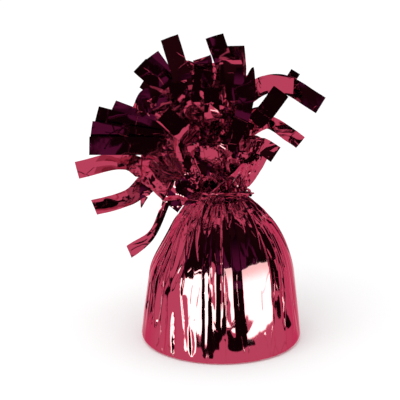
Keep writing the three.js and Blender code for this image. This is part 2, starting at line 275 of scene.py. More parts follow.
# Crushed film: flat triangles between sharp folds, as heights from -1 to 1 over u and v. It closes
# on itself where u goes round from 0 to 1.
def facets(u, v, seed, columns, rows):
    s = facetSway
    draw = np.random.default_rng(seed)
    heights = draw.uniform(-1, 1, (rows + 4, columns))
    phase = draw.uniform(0, phaseRange, 4)
    x = u * columns + s["uWithU"] * np.sin(2 * math.pi * max(columns // 3, 1) * u + phase[0])
    x = x + s["uWithV"] * np.sin(s["uSpeed"] * rows * v + phase[1])
    y = v * rows + 1 + s["vWithU"] * np.sin(2 * math.pi * max(columns // 4, 1) * u + phase[2])
    y = y + s["vWithV"] * np.sin(s["vSpeed"] * rows * v + phase[3])
    column = np.floor(x).astype(int)
    row = np.floor(y).astype(int)
    a = x - column
    b = y - row

    def corner(right, up):
        return heights[np.clip(row + up, 0, rows + 3), (column + right) % columns]

    low = corner(0, 0)
    high = corner(1, 1)
    below = low + a * (corner(1, 0) - low) + b * (corner(0, 1) - low)
    above = high + (1 - a) * (corner(0, 1) - high) + (1 - b) * (corner(1, 0) - high)
    return np.where(a + b > 1, above, below)

# facets over a narrow piece, from u = -0.5 to 0.5; they take up only a part of a round, so that the
# piece's two edges differ
def facetsAcross(u, v, seed, rows):
    return facets((u + 0.5) * 0.4, v, seed, 5, rows)

def smoothStep(low, high, x):
    share = np.clip((x - low) / (high - low), 0, 1)
    return share * share * (3 - 2 * share)

# a smooth random wave round the axis, from -1 to 1
def roundWave(angle, seed, waves):
    draw = random.Random(seed)
    total = 0
    for count in waves:
        total = total + np.sin(count * angle + draw.random() * phaseRange) / len(waves)
    return total


# the wrap

wrapShape = {
    "foot": 32.7 * mm, "corner": 1.8 * mm, "shoulder": (29.9 * mm, 25 * mm),
    "puff": ((28.7 * mm, 40 * mm), (22 * mm, 52.3 * mm)), "puffTilt": math.radians(40),
    "neck": 10 * mm, "neckLow": 59.5 * mm, "neckTop": 64.5 * mm, "pinch": 0.7 * mm,
    "frontLift": 2.5 * mm,
    "hollow": (2.3 * mm, 26 * mm, 60 * mm),  # the left side is drawn in this deep, between these heights
    "hollowNarrowness": 8,
    "ruffBearing": math.radians(198), "ruffNarrowness": 4,
    "droopBearing": math.radians(236), "droopNarrowness": 14,
    "reach": (7 * mm, 22 * mm), "rise": (16 * mm, 6 * mm), "droop": 8 * mm,
    "flatAbove": 3 * mm,  # the film is shaded flat from here up, over the neck's top
    "sides": 620, "sharpAngle": 30,
    "rings": (("underside", 4), ("corner", 4), ("wall", 26), ("puff", 58), ("neck", 6), ("ruff", 40)),
}

# The long folds in the film at mid height: bearing from the front, positive to the right, in
# degrees, how far the film stands out there, in millimetres, how many degrees the fold shifts by
# the foot, and the height in millimetres under which it fades.
frontFolds = (
    (-90, 0, 0, 3), (-72, 0, 0, 3), (-55, 0.1, 0, 3), (-50.5, 0, 0, 3), (-44.6, 0, 0, 3),
    (-39, 0.1, 0, 3), (-34.4, 0.1, 6, 3), (-33.4, -0.2, 7, 3), (-32.4, 0.2, 8, 3), (-17.5, 0, 1, 3),
    (-16, -0.4, 1, 3), (-12.5, -0.1, 0, 3), (-10.3, -0.6, 1, 3), (-6.3, 0, 0, 3), (-1.9, 0, -3, 3),
    (-0.6, 0.7, 2, 14), (0.4, 0.8, 3, 14), (8.8, -0.8, 3, 12), (16.4, 0.2, 4, 3), (18, 0.1, 4, 3),
    (42.6, 0.1, 1, 3), (44.4, -0.2, 1, 3), (49, -0.2, 1, 3), (54, 0.05, 1, 3), (66, 0, 0, 3),
    (90, 0, 0, 3),
)

# Dents shaped like a long leaf: bearing at the low and the high end and half width, in degrees,
# low and high end and depth in millimetres.
wrapDents = (
    (55.5, 57.5, 3.6, 10, 43, 0.45), (-79, -77, 2.6, 16, 26, 0.55), (-76, -70, 2, 33, 46, 0.35),
    (-46, -54, 2.6, 35, 53, 0.3), (-42, -36, 2.2, 28, 39, 0.3), (-53.5, -52, 3, 3, 13, 1),
    (-38, -39.5, 2.6, 1, 20, 0.95), (-24, -26.5, 3.4, 3, 15, 0.55), (-56, -54.5, 4, 11, 28, 1.5),
    (-46.5, -47.5, 3, 1, 25, 0.9), (-37.5, -37.5, 1.6, 0.8, 8, 0.3), (-61.5, -63, 1.5, 9, 25, 0.4),
    (-64, -66, 1.5, 20, 50, 0.3), (-69, -68, 1.6, 5, 30, 0.3), (-57, -59, 1.8, 28, 54, 0.32),
    (-70, -62, 1.5, 34, 55, 0.3), (-83, -80, 1.8, 30, 50, 0.4), (-50, -52, 1.6, 22, 40, 0.3),
    (-33, -44, 1.6, 40, 55, 0.25), (-22, -34, 1.6, 40, 56, 0.25), (-86, -84, 1.8, 26, 46, 0.2),
    (62, 60, 1.4, 30, 54, 0.25), (67, 70, 1.8, 24, 52, 0.25), (78, 76, 1.8, 12, 46, 0.2),
    (38, 46, 1.6, 42, 56, 0.25), (24, 30, 1.5, 46, 57, 0.3), (72, 74, 1.3, 4, 22, 0.15),
)

def dentOffset(angle, height):
    total = np.zeros_like(angle)
    bearing = np.mod(np.degrees(angle) + 270, 360) - 180
    for lowEnd, highEnd, halfWidth, low, high, depth in wrapDents:
        share = (height / mm - low) / (high - low)
        middle = lowEnd + (highEnd - lowEnd) * share
        swell = np.sqrt(np.clip(1 - (2 * share - 1) ** 2, 0, 1))
        reach = np.maximum(halfWidth * swell, 0.01)
        total -= depth * mm * swell * np.clip(1 - np.abs(bearing - middle) / reach, 0, 1)
    return total

# The folds behind, which the photograph doesn't show, come in pairs: a ridge and a groove beside it.
# Bearings and gaps are in degrees.
backFolds = {
    "from": 94, "to": 264, "depth": 0.4 * mm, "fade": 3 * mm, "pairGap": 1.2, "gap": 4, "gapRange": 9,
}

# each fold as its angle, its offset, its shift by the foot and its fading height
def makeFolds():
    folds = []
    for bearing, offset, shift, fade in frontFolds:
        folds.append((math.radians(bearing - 90), offset * mm, math.radians(shift), fade * mm))
    b = backFolds
    draw = random.Random(8)
    bearing = b["from"]
    while bearing < b["to"]:
        folds.append((math.radians(bearing - 90), b["depth"] * (0.4 + draw.random()), 0, b["fade"]))
        bearing += b["pairGap"] + draw.random()
        folds.append((math.radians(bearing - 90), -b["depth"] * (0.4 + draw.random()), 0, b["fade"]))
        bearing += b["gap"] + b["gapRange"] * draw.random()
    return folds

# gathers or pleats, as many round the neck as count says: each a groove and a ridge, unevenly spaced
def makeGathers(count, seed, depth):
    draw = random.Random(seed)
    gathers = []
    for index in range(count):
        start = 2 * math.pi * (index + 0.5 * draw.random()) / count
        middle = start + 2 * math.pi * (0.2 + 0.5 * draw.random()) / count
        gathers.append((start, -depth * (0.5 + draw.random()), 0, 0))
        gathers.append((middle, depth * (0.5 + draw.random()), 0, 0))
    return gathers

# Folds shift under the height shiftUnder. Each grows and shrinks upwards by a share, in two waves,
# and film pulled flat between two folds comes in by pulledIn at most.
foldShape = {"shiftUnder": 27 * mm, "sway": 0.35, "waves": (9 * mm, 23 * mm), "pulledIn": 1.2 * mm}

# the film's standing out between folds, straight from fold to fold; flatness takes the roundness off
def foldOffset(angle, folds, scatterSeed, height, radius, flatness):
    f = foldShape
    bearings, offsets, shifts, fades = np.array(folds).T
    bearings = np.mod(bearings + shifts * np.clip(1 - height / f["shiftUnder"], 0, 1), 2 * math.pi)
    phases = np.random.default_rng(scatterSeed).random((len(folds), 2)) * phaseRange
    shortWave, longWave = [np.sin(height / f["waves"][k] + phases[:, k]) for k in (0, 1)]
    sway = 1 + f["sway"] * shortWave * longWave
    offsets = offsets * sway * smoothStep(fades * 0.5, fades * 1.2 + 0.1 * mm, height)
    order = np.argsort(bearings)
    bearings = bearings[order]
    offsets = offsets[order]
    ends = np.concatenate([[bearings[-1] - 2 * math.pi], bearings, [bearings[0] + 2 * math.pi]])
    values = np.concatenate([[offsets[-1]], offsets, [offsets[0]]])
    turned = np.mod(angle, 2 * math.pi)
    after = np.clip(np.searchsorted(ends, turned), 1, len(ends) - 1)
    width = ends[after] - ends[after - 1]
    middle = (ends[after] + ends[after - 1]) / 2
    sagitta = radius * (np.cos(width / 2) / np.cos(turned - middle) - 1)
    return np.interp(turned, ends, values) + flatness * np.maximum(sagitta, -f["pulledIn"])

def bezier(share, start, bendA, bendB, end):
    rest = 1 - share
    return (
        rest ** 3 * start + 3 * rest ** 2 * share * bendA + 3 * rest * share ** 2 * bendB + share ** 3 * end
    )

# 1 towards a bearing, falling off to 0 on the other side, faster the greater the narrowness
def lobe(angle, bearing, narrowness):
    return np.cos((angle - bearing) / 2) ** narrowness

# radius and height of the smooth film at a share of a section, and the tilt of the way out from it
def wrapPoint(section, share, angle):
    w = wrapShape
    same = np.ones_like(angle)
    lift = -w["frontLift"] * np.sin(angle)
    if section == "underside":
        return share * (w["foot"] - w["corner"]) * same, 0 * same, 0 * same
    if section == "corner":
        turn = share * math.pi / 2
        radius = w["foot"] - w["corner"] * (1 - math.sin(turn))
        return radius * same, w["corner"] * (1 - math.cos(turn)) * same, 0 * same
    if section == "wall":
        radius = w["foot"] + share * (w["shoulder"][0] - w["foot"])
        height = w["corner"] + share * (w["shoulder"][1] - w["corner"])
        return radius * same, height * same, 0 * same
    if section == "puff":
        radius = bezier(share, w["shoulder"][0], w["puff"][0][0], w["puff"][1][0], w["neck"])
        low, high = w["puff"][0][1], w["puff"][1][1] + lift
        height = bezier(share, w["shoulder"][1], low, high, w["neckLow"] + lift)
        return radius * same, height, w["puffTilt"] * share ** 2 * same
    if section == "neck":
        height = w["neckLow"] + share * (w["neckTop"] - w["neckLow"]) + lift
        pinch = w["pinch"] * math.sin(share * math.pi)
        return (w["neck"] - pinch) * same, height, 0 * same
    wideness = lobe(angle, w["ruffBearing"], w["ruffNarrowness"])
    lowness = lobe(angle, w["droopBearing"], w["droopNarrowness"])
    reach = w["reach"][0] + wideness * (w["reach"][1] - w["reach"][0])
    rise = w["rise"][0] + lowness * (w["rise"][1] - w["rise"][0])
    radius = w["neck"] + reach * math.sin(share * math.pi / 2)
    height = w["neckTop"] + lift + rise * share - w["droop"] * lowness * share ** 3
    outward = reach * math.cos(share * math.pi / 2) * math.pi / 2
    upward = rise - 3 * w["droop"] * lowness * share ** 2
    return radius, height, -np.arctan2(outward, np.maximum(upward, 0.1 * mm))

# Folds and facets over the smooth film. along runs from 0 at the foot's corner to 1 at the neck. The
# depths of facets are in millimetres, and grows says between which places along they come in.
wrapFolding = {
    "measuredAt": 30.8 * mm,  # the radius for which the folds' offsets hold
    "flatness": 0.6,
    "wander": 3,  # how far the folds wander sideways, in degrees
    "foldsStart": (0, 0.12),
    "foldsGrow": (0.05, 0.5),
    "foldStrength": (0.55, 0.65),  # at first, and how much more when grown
    "gathers": (
        {"count": 26, "seed": 51, "depth": 0.75 * mm, "grows": (0.74, 0.95), "scatterSeed": 52},
        {"count": 40, "seed": 53, "depth": 0.5 * mm, "grows": (0.8, 1.0), "scatterSeed": 54},
    ),
    "facets": (
        {"seed": 5, "columns": 40, "rows": 5, "depth": 0.22, "grows": (0, 0.15)},
        {"seed": 6, "columns": 40, "rows": 20, "depth": 0.45, "grows": (0.74, 0.92)},
    ),
}

# The ruff is crushed into facets where it lies out, and pleated where it stands up. A form grows
# upwards by its power of the share up the ruff.
ruffFolding = {
    "pleats": 20, "pleatSeed": 71, "pleatDepth": 1.5 * mm, "pleatScatterSeed": 72, "pleatPower": 0.5,
    "leastCrush": 0.3,
    "crushed": {"seed": 9, "columns": 20, "rows": 2, "depth": 3, "power": 0.6},
    "fine": {"seed": 10, "columns": 44, "rows": 5, "depth": 0.15, "power": 0.5},
}

def facetsOf(round01, up, kind):
    return facets(round01, up * np.ones_like(round01), kind["seed"], kind["columns"], kind["rows"])

# how the body's film stands out from its folds: its dents, the hollow of the left side, its facets
def bodyDetail(out, warp, angle, round01, height, along):
    out += dentOffset(warp, height)
    depth, low, high = wrapShape["hollow"]
    drawn = np.sin(math.pi * np.clip((height - low) / (high - low), 0, 1)) ** 2
    out -= depth * drawn * lobe(angle, math.pi, wrapShape["hollowNarrowness"])
    for kind in wrapFolding["facets"]:
        out += facetsOf(round01, along, kind) * kind["depth"] * mm * smoothStep(*kind["grows"], along)
    return out

# how the ruff's film stands out: the body's folds die away in it, and its own forms take over
def ruffDetail(out, angle, round01, height, radius, above):
    f = ruffFolding
    nodes = makeGathers(f["pleats"], f["pleatSeed"], f["pleatDepth"])
    pleats = foldOffset(angle, nodes, f["pleatScatterSeed"], np.mean(height), radius, 0)
    least = f["leastCrush"]
    crush = least + (1 - least) * lobe(angle, wrapShape["ruffBearing"], wrapShape["ruffNarrowness"])
    out = out * (1 - above) + pleats * above ** f["pleatPower"] * (1 + least - crush)
    crushed, fine = f["crushed"], f["fine"]
    out += facetsOf(round01, above, crushed) * crushed["depth"] * mm * above ** crushed["power"] * crush
    out += facetsOf(round01, above, fine) * fine["depth"] * mm * above ** fine["power"]
    return out

def makeWrap():
    w = wrapShape
    f = wrapFolding
    rings = [("underside", 0)]
    rings += [(name, (index + 1) / count) for name, count in w["rings"] for index in range(count)]
    bm = bmesh.new()
    bmesh.ops.create_grid(bm, x_segments=w["sides"], y_segments=len(rings) - 1, size=0.5)
    raw = np.array([v.co for v in bm.verts])
    rounds = raw[:, 0] + 0.5
    ringOf = np.rint((raw[:, 1] + 0.5) * (len(rings) - 1)).astype(int)
    folds = makeFolds()
    gathers = [(makeGathers(g["count"], g["seed"], g["depth"]), g) for g in f["gathers"]]
    cornerRing = 1 + w["rings"][0][1]
    neckRing = cornerRing + w["rings"][1][1] + w["rings"][2][1] + w["rings"][3][1]
    placed = np.zeros((len(raw), 3))
    for index, (section, share) in enumerate(rings):
        here = np.flatnonzero(ringOf == index)
        round01 = rounds[here]
        angle = round01 * 2 * math.pi
        radius, height, tilt = wrapPoint(section, share, angle)
        along = min(max((index - cornerRing) / (neckRing - cornerRing), 0), 1)
        above = share if section == "ruff" else 0
        size = radius / f["measuredAt"]
        drift = roundWave(angle, 61, (2, 3)) * math.cos(2.2 * along)
        drift = drift + roundWave(angle, 63, (3, 5)) * math.sin(4 * along)
        warp = angle + np.radians(f["wander"]) * drift * (1 - along)
        first, more = f["foldStrength"]
        strength = smoothStep(*f["foldsStart"], along) * (first + more * smoothStep(*f["foldsGrow"], along))
        flatness = f["flatness"] * (1 - above)
        out = foldOffset(warp, folds, 62, np.mean(height), radius, flatness) * strength * size
        for nodes, gather in gathers:
            grown = smoothStep(*gather["grows"], along) * (1 - 0.5 * above)
            gathered = foldOffset(warp, nodes, gather["scatterSeed"], np.mean(height), radius, 0)
            out += gathered * grown * (0.6 + 0.8 * size)
        if section == "ruff":
            out = ruffDetail(out, angle, round01, height, radius, above)
        else:
            out = bodyDetail(out, warp, angle, round01, height, along)
        placed[here, 0] = (radius + out * np.cos(tilt)) * np.cos(angle)
        placed[here, 1] = (radius + out * np.cos(tilt)) * np.sin(angle)
        placed[here, 2] = height + out * np.sin(tilt)
    placeVerts(bm.verts, placed)
    bmesh.ops.remove_doubles(bm, verts=bm.verts, dist=1e-6)
    flatFrom = w["neckTop"] + w["flatAbove"]
    piece = finishPiece("wrapFilm", bm, bodyFilm, w["sharpAngle"], lambda middle: middle.z > flatFrom)
    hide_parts("foil_wrap")
    return piece

wrapFilm = makeWrap()
print("wrap made")


# the strips

# Shares are of a strip's length from its root. Random values lie round zero, in the width given
# here, except a fold's place, which is its least share and how far beyond that it can lie.
stripShape = {
    "across": 14, "along": 48, "endSlant": 0.05,
    "gathers": 2.5, "gatherDepth": 0.9 * mm, "gatherShare": 0.35, "gatherPower": 1.5,
    "cup": 0.5,  # in millimetres
    "folds": 3, "foldPlace": (0.25, 0.65), "foldSlant": 1.6, "foldDepth": 0.16, "foldReach": 4 * mm,
    "opening": (0.55, 2.2),  # the share of the width at the root, and how fast it opens
    "widthChange": (0.55, 0.95),
    "tipNarrowing": 0.92,
    "turnsBetween": (0.05, 0.45),  # where the strip turns to the way that its look says it faces
    "crushFrom": (0, 0.3),
    "sharpAngle": 12,
}

# What the photograph shows of single strips. faces is the way the strip's face turns to, as bearing
# and elevation in degrees, crush the depth of its folds in millimetres with the folds along it,
# width its width at the root's side and at its end as a share of the full one, tip where it starts
# to narrow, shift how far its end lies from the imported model's, in millimetres, flatten the share
# of its depth from front to back that is left, and calm the share of its own cup and folds.
stripLooks = {
    "strip_left_flat": {"faces": (0, 47)},
    "strip_left_curl": {"faces": (0, 49)},
    "strip_long_curl": {"faces": (-12, 47), "crush": (0.12, 5), "width": (0.55, 1), "calm": 0},
    "strip_left_lobe": {"faces": (-10, 25), "crush": (0.7, 5), "width": (0.6, 0.5), "tip": 0.45},
    "strip_low_lobe": {"faces": (0, 20), "crush": (1.6, 5)},
    "strip_left_bump": {"faces": (0, 12), "crush": (0.5, 6)},
    "strip_fan_top": {"faces": (0, 16), "crush": (0.3, 4), "calm": 0.4},
    "strip_fan_upper": {"faces": (3, 9), "crush": (0.08, 3), "calm": 0.3},
    "strip_fan_middle": {"faces": (3, 7), "crush": (0.08, 3), "calm": 0.3},
    "strip_fan_lower": {"faces": (3, 6), "crush": (0.08, 3), "calm": 0.3},
    "strip_right_swoop": {"faces": (2, 47)},
    "strip_right_low": {"faces": (-20, -22), "crush": (0.3, 7)},
    "strip_right_drop": {"faces": (0, 45), "crush": (0.7, 5)},
    "strip_right_dark": {"faces": (0, 10)},
    "strip_right_stub": {"faces": (0, 12), "width": (0.55, 0.55), "calm": 0, "flatten": 0.15},
    "strip_right_middle": {"crush": (0.2, 3)},
    "strip_top_right": {"crush": (1.4, 7)},
    "strip_top_flat": {"faces": (0, 5), "shift": (0, 0, 2), "flatten": 0.1, "calm": 0.3},
    "strip_front_fall": {"flatten": 0.45},
    "strip_tall_right": {"faces": (0, 6), "tip": 0.88},
    "strip_heart_left": {"faces": (-6, 30), "crush": (1.2, 4)},
    "strip_heart_middle": {"faces": (-2, 8), "crush": (0.9, 3)},
    "strip_heart_low": {"faces": (0, 10), "crush": (0.6, 3)},
    "strip_heart_right": {"faces": (0, 10), "crush": (0.5, 3)},
    "strip_upper_left_back": {"faces": (0, 8), "calm": 0.3},
    "strip_crown_1": {"crush": (1.5, 6)},
    "strip_crown_2": {"crush": (1.5, 6)},
    "strip_back_high_4": {"faces": (0, 15)},
    "strip_back_middle_4": {"faces": (0, 15)},
    "strip_back_middle_5": {"faces": (0, 5)},
}

# corners reached one step at a time: four in each layer when the start is a strip's end face
def layersFrom(start):
    layers = [start]
    seen = set(start)
    while layers[-1]:
        layers.append({e.other_vert(v) for v in layers[-1] for e in v.link_edges} - seen)
        seen |= layers[-1]
    return layers[:-1]

def spreadOf(layer):
    return max((a.co - b.co).length for a in layer for b in layer)

# a node's cross sections from its root to its cut end: the middle and the vector across
def stationsOf(nodeName):
    bm = bmesh.new()
    bm.from_mesh(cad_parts[nodeName].data)
    bmesh.ops.remove_doubles(bm, verts=bm.verts, dist=2e-6)
    runs = [layersFrom({v for f in edge.link_faces for v in f.verts}) for edge in bm.edges]
    runs = [run for run in runs if all(len(layer) == 4 for layer in run)]
    run = min(runs, key=lambda layers: spreadOf(layers[0]))
    stations = []
    for layer in run:
        corners = sorted(layer, key=lambda v: v.index)
        first = corners[0]
        mates = sorted(corners[1:], key=lambda v: (v.co - first.co).length)
        near = (first.co + mates[0].co) / 2
        far = (mates[1].co + mates[2].co) / 2
        wide = far - near
        if stations and wide.dot(stations[-1][1]) < 0:
            wide.negate()
        stations.append(((near + far) / 2, wide))
    bm.free()
    return stations

# a smooth curve through the stations' points, at each share of their run
def alongStations(points, shares):
    last = len(points) - 1
    place = shares * last
    index = np.minimum(place.astype(int), last - 1)
    t = (place - index)[:, None]
    p = [points[np.clip(index + k, 0, last)] for k in (-1, 0, 1, 2)]
    return 0.5 * (
        2 * p[1]
        + (p[2] - p[0]) * t
        + (2 * p[0] - 5 * p[1] + 4 * p[2] - p[3]) * t ** 2
        + (3 * p[1] - p[0] - 3 * p[2] + p[3]) * t ** 3
    )

def unit(vectors):
    return vectors / np.linalg.norm(vectors, axis=1)[:, None]

def makeStrip(nodeName, seed):
    draw = random.Random(seed)
    stations = stationsOf(nodeName)
    look = stripLooks.get(nodeName, {})
    s = stripShape
    widths = look.get("width", (1, 1))
    calm = look.get("calm", 1)
    tip = look.get("tip", 1)
    cup = (draw.random() - 0.5) * s["cup"] * mm * widths[1] ** 2 * calm
    folds = []
    for index in range(s["folds"]):
        folds.append({
            "at": s["foldPlace"][0] + s["foldPlace"][1] * draw.random(),
            "slant": (draw.random() - 0.5) * s["foldSlant"],
            "depth": (draw.random() - 0.5) * s["foldDepth"] * calm,
        })
    slantEnd = (draw.random() - 0.5) * s["endSlant"]
    middles = np.array([station[0] for station in stations])
    wides = np.array([station[1] for station in stations])
    bent = np.linspace(0, 1, len(middles))[:, None] ** 2
    middles = middles + bent * np.array(look.get("shift", (0, 0, 0))) * mm
    middles[:, 1] = middles[0, 1] + (middles[:, 1] - middles[0, 1]) * look.get("flatten", 1)
    fullWidth = np.linalg.norm(wides[-1])
    length = np.linalg.norm(np.diff(middles, axis=0), axis=1).sum()
    bm = bmesh.new()
    bmesh.ops.create_grid(bm, x_segments=s["across"], y_segments=s["along"], size=0.5)
    grid = np.array([v.co for v in bm.verts])
    u = grid[:, 0]
    share = grid[:, 1] + 0.5
    share = np.clip(share + slantEnd * u * share, 0, 1)
    wide = alongStations(wides, share)
    rootWidth, speed = s["opening"]
    least = fullWidth * np.minimum(rootWidth + speed * share, 1)
    opened = np.maximum(np.linalg.norm(wide, axis=1), least)
    opened = opened * (widths[0] + (widths[1] - widths[0]) * smoothStep(*s["widthChange"], share))
    # 1.001 and not 1, so that a strip without a tip doesn't divide by zero
    opened = opened * (1 - s["tipNarrowing"] * np.clip((share - tip) / (1.001 - tip), 0, 1))
    across = unit(wide)
    step = 1 / 200
    after = alongStations(middles, np.minimum(share + step, 1))
    before = alongStations(middles, np.maximum(share - step, 0))
    ahead = after - before
    if "faces" in look:
        bearing, level = np.radians(look["faces"])
        flat = np.cos(level)
        wanted = np.array([np.sin(bearing) * flat, -np.cos(bearing) * flat, np.sin(level)])
        turned = unit(np.cross(wanted, ahead))
        turned *= np.sign((turned * across).sum())
        blend = smoothStep(*s["turnsBetween"], share)[:, None]
        across = unit(across * (1 - blend) + turned * blend)
    face = unit(np.cross(ahead, across))
    gathered = np.maximum(0, 1 - share / s["gatherShare"]) ** s["gatherPower"]
    rise = zigzag(s["gathers"] * u + 0.5) * s["gatherDepth"] * gathered
    rise += cup * (4 * u * u - 0.33) * share
    for fold in folds:
        aside = (share - fold["at"]) * length + fold["slant"] * u * opened
        rise += fold["depth"] * np.minimum(np.abs(aside), s["foldReach"])
    if "crush" in look:
        depth, rows = look["crush"]
        rise += facetsAcross(u, share, seed, rows) * depth * mm * smoothStep(*s["crushFrom"], share)
    middle = alongStations(middles, share)
    placeVerts(bm.verts, middle + across * (u * opened)[:, None] + face * rise[:, None])
    pieceName = "film" + nodeName.title().replace("_", "")
    piece = finishPiece(pieceName, bm, stripFilm, s["sharpAngle"])
    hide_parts(nodeName)
    return piece

stripNodes = sorted(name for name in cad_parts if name.startswith("strip_"))
for number, nodeName in enumerate(stripNodes):
    makeStrip(nodeName, 100 + number)
print("strips made:", len(stripNodes))


# the inner film: pleated at the neck, crushed above it and slit into the plume

# The profile's points are radius and height in millimetres, and the depths are in millimetres too.
# Facets come in between the two shares of the way up in grows, and pleats fade between those in goes.
innerShape = {
    "columns": 260,
    "rows": 70,
    "profile": ((8.6, 63.5), (11.5, 68.5), (14.5, 75), (15.5, 82), (12.5, 88.5), (6, 92.5), (0, 94)),
    "lean": 5 * mm,
    "middle": (0.7, 76 * mm),  # a share of the lean, and a height
    "pleats": {"count": 24, "depth": 1.2, "wander": 0.3, "waves": 5, "goes": (0.15, 0.55)},
    "facets": (
        {"seed": 21, "columns": 17, "rows": 6, "depth": 3, "grows": (0.08, 0.3)},
        {"seed": 22, "columns": 40, "rows": 14, "depth": 0.25, "grows": (0, 0.2)},
    ),
    "calmCentre": 6 * mm,  # all forms shrink to nothing inside this radius
    "sharpAngle": 10,
}

# Short flaps on the crushed film. In millimetres: the least length and width and how much more they
# can be, the range of the curl, the depth of the crush, and how deep the root is sunk in.
flapShape = {
    "count": 100,
    "source": Vector((-1.5, 0, 64)) * mm,  # flaps stand away from here
    "place": (0.58, 0.4, 0.8),  # the lowest share up the film, the range over it, and its crowding
    "scatter": 0.3, "segments": (6, 10),
    "length": (7, 6), "width": (4, 3.4), "curl": 7, "crush": 1.5, "sunk": 2,
}

# the smooth inner film at u round it and v up it: radii and points
def innerPoint(u, v):
    s = innerShape
    profile = np.array([(radius, 0, height) for radius, height in s["profile"]]) * mm
    run = alongStations(profile, v)
    angle = u * 2 * math.pi
    lean = -s["lean"] * smoothStep(0, 0.8, v)
    return run[:, 0], np.stack([run[:, 0] * np.cos(angle) + lean, run[:, 0] * np.sin(angle), run[:, 2]], 1)

def makeInnerFilm():
    s = innerShape
    bm = bmesh.new()
    bmesh.ops.create_grid(bm, x_segments=s["columns"], y_segments=s["rows"], size=0.5)
    grid = np.array([v.co for v in bm.verts]) + 0.5
    u = grid[:, 0]
    v = grid[:, 1]
    radius, smooth = innerPoint(u, v)
    leanShare, middleHeight = s["middle"]
    outward = unit(smooth - np.array((-s["lean"] * leanShare, 0, middleHeight)))
    p = s["pleats"]
    pleats = zigzag(u * p["count"] + p["wander"] * np.sin(2 * math.pi * p["waves"] * u))
    rise = pleats * p["depth"] * mm * (1 - smoothStep(*p["goes"], v))
    for kind in s["facets"]:
        rise += facetsOf(u, v, kind) * kind["depth"] * mm * smoothStep(*kind["grows"], v)
    rise *= np.minimum(1, radius / s["calmCentre"])
    placeVerts(bm.verts, smooth + outward * rise[:, None])
    bmesh.ops.remove_doubles(bm, verts=bm.verts, dist=1e-6)
    piece = finishPiece("innerFilm", bm, heartFilm, s["sharpAngle"])
    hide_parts("fringe_heart")
    return piece

# one short crushed flap, standing out from the inner film
def addFlap(bm, draw, seed):
    f = flapShape
    u = draw.random()
    lowest, span, crowding = f["place"]
    v = lowest + span * draw.random() ** crowding
    root = Vector(innerPoint(np.array([u]), np.array([v]))[1][0])
    away = (root - f["source"]).normalized()
    aside = Vector((draw.gauss(0, 1), draw.gauss(0, 1), draw.gauss(0, 0.6)))
    out = (away + aside * f["scatter"]).normalized()
    across = out.cross(aside).normalized()
    face = out.cross(across)
    length = (f["length"][0] + f["length"][1] * draw.random()) * mm
    width = (f["width"][0] + f["width"][1] * draw.random()) * mm
    curl = (draw.random() - 0.5) * f["curl"] * mm
    columns, rows = f["segments"]
    made = bmesh.ops.create_grid(bm, x_segments=columns, y_segments=rows, size=0.5)["verts"]
    grid = np.array([vert.co for vert in made])
    share = grid[:, 1] + 0.5
    opened = np.minimum(share * 2, 1)
    wide = grid[:, 0] * width * (0.55 + 0.45 * opened)
    crush = facetsAcross(grid[:, 0], share, seed, 3) * f["crush"] * mm * opened
    place = np.array(root - out * f["sunk"] * mm) + share[:, None] * length * np.array(out)
    place += wide[:, None] * np.array(across) + (share ** 2 * curl + crush)[:, None] * np.array(face)
    placeVerts(made, place)

def makeFlaps():
    bm = bmesh.new()
    draw = random.Random(31)
    for index in range(flapShape["count"]):
        addFlap(bm, draw, 500 + index)
    piece = finishPiece("innerFlaps", bm, heartFilm, innerShape["sharpAngle"])
    return piece

innerFilm = makeInnerFilm()
innerFlaps = makeFlaps()
print("inner film made")


# the tie

# a cord wound loosely round the neck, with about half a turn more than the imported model's, so that
# both its ends stick out at the front right
tieShape = {
    "radius": 11.3 * mm, "height": 62 * mm, "start": math.radians(-42), "turns": 3.03,
    "cord": 0.9 * mm, "thickness": (0.55, 1.5), "points": 160,
    "wander": 0.9 * mm, "wanderSpeed": 0.73,  # up and down
    "scatter": 0.2,  # of each point, in millimetres
    "tail": 0.025, "tailReach": 4 * mm,  # the share of the cord at each end that runs out, and how far
}

def makeTie():
    t = tieShape
    draw = random.Random(17)
    curve = bpy.data.curves.new("neckCord", "CURVE")
    curve.dimensions = "3D"
    curve.bevel_depth = t["cord"] / 2
    curve.bevel_resolution = 1
    spline = curve.splines.new("POLY")
    spline.points.add(t["points"])
    spline.use_smooth = False
    for index, point in enumerate(spline.points):
        share = index / t["points"]
        angle = t["start"] + share * t["turns"] * 2 * math.pi
        rise = t["wander"] * math.sin(angle * t["wanderSpeed"] + 1)
        rise = rise - wrapShape["frontLift"] * math.sin(angle)
        rise += draw.uniform(-t["scatter"], t["scatter"]) * mm
        tail = max(0, 1 - min(share, 1 - share) / t["tail"])
        radius = t["radius"] + draw.uniform(-t["scatter"], t["scatter"]) * mm + t["tailReach"] * tail
        point.co = (radius * math.cos(angle), radius * math.sin(angle), t["height"] + rise, 1)
        point.radius = draw.uniform(*t["thickness"])
    holder = bpy.data.objects.new("neckCord", curve)
    scene.collection.objects.link(holder)
    curve.materials.append(cordFilm)
    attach(holder, "root")
    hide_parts("neck_tie")

makeTie()
print("tie made")


# the pieces inside, which keep their CAD shape

# a plain material whose grain shades between two colours
def makePlainMaterial(name, colour, otherColour, scale, roughness, depth):
    material, tree, shader = newMaterial(name)
    place = addNode(tree, "ShaderNodeTexCoord")
    grain = addNode(tree, "ShaderNodeTexNoise", Scale=scale, Detail=6, Roughness=0.6)
    tint = addNode(tree, "ShaderNodeMix", data_type="RGBA")
    tint.inputs["A"].default_value = colour
    tint.inputs["B"].default_value = otherColour
    bump = addNode(tree, "ShaderNodeBump", Distance=depth)
    link(tree, place, "Object", grain, "Vector")
    link(tree, grain, "Fac", tint, "Factor")
    link(tree, tint, "Result", shader, "Base Color")
    link(tree, grain, "Fac", bump, "Height")
    link(tree, bump, "Normal", shader, "Normal")
    shader.inputs["Roughness"].default_value = roughness
    return material

